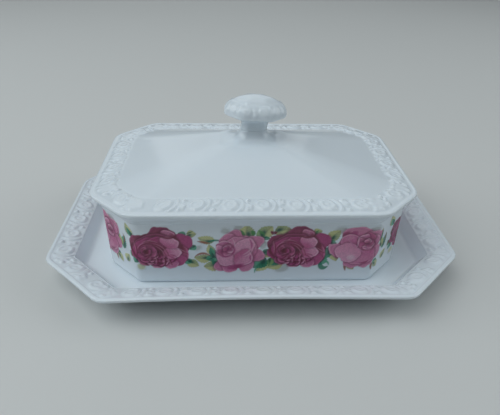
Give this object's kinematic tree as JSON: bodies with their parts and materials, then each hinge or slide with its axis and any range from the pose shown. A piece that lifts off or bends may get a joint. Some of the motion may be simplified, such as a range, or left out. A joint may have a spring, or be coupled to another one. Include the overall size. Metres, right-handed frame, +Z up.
{
  "type": "butter dish",
  "caption": "Covered butter dish: eight-sided porcelain tray with a broad relief rim and a lift-off cover with a hipped roof, a projecting relief cornice and a mushroom knob.",
  "frame": {"origin": "middle of the foot ring's underside", "axes": "+X along the dish's length, +Y along its width, +Z up to the knob"},
  "size_m": [0.24, 0.17, 0.0997],
  "materials": {
    "glazed_porcelain": "clear gloss glaze over white porcelain, edges of the relief softened by the glaze",
    "rose_transfers": "fired enamel transfer under a gloss flux, roses in crimson and pink with green leaves"
  },
  "bodies": {
    "tray": {"tray": "glazed_porcelain"},
    "cover": {"cover_shell": "glazed_porcelain", "cover_knob": "glazed_porcelain", "transfer_front": "rose_transfers", "transfer_back": "rose_transfers", "transfer_right": "rose_transfers", "transfer_left": "rose_transfers", "transfer_front_right": "rose_transfers", "transfer_back_right": "rose_transfers", "transfer_back_left": "rose_transfers", "transfer_front_left": "rose_transfers"}
  },
  "joints": [
    {"name": "cover_lift", "type": "slide", "parent": "tray", "child": "cover", "axis": [0, 0, 1], "range_m": [0, 0.15]}
  ]
}
